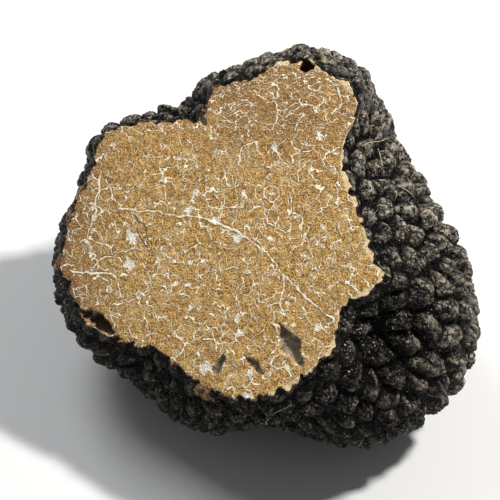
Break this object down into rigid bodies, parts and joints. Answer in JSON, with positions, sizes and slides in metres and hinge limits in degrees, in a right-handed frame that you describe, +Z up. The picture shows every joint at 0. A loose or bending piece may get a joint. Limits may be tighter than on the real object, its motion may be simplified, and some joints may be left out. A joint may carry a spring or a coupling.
{
  "type": "sliced black truffle",
  "caption": "Sliced black truffle: a lobed body with a rind of polygonal warts, and a flat cut that shows the flesh, resting on a small flat spot of the rind.",
  "frame": {"origin": "on the resting surface, below the middle of the box round the truffle", "axes": "+Z up, +X to the right along the longest extent; the slice looks up, forward along -Y and a little to the left"},
  "size_m": [0.0648, 0.0572, 0.0543],
  "materials": {
    "rind": "near-black, hard, rough, polygonal warts with fine cracks, greyer on their tops and with a few small glints",
    "flesh": "matt golden tan with a dense maze of thin cream veins, a few broad white ones, small pale blotches and darker specks"
  },
  "bodies": {
    "root": {"truffle": "rind"}
  },
  "joints": []
}
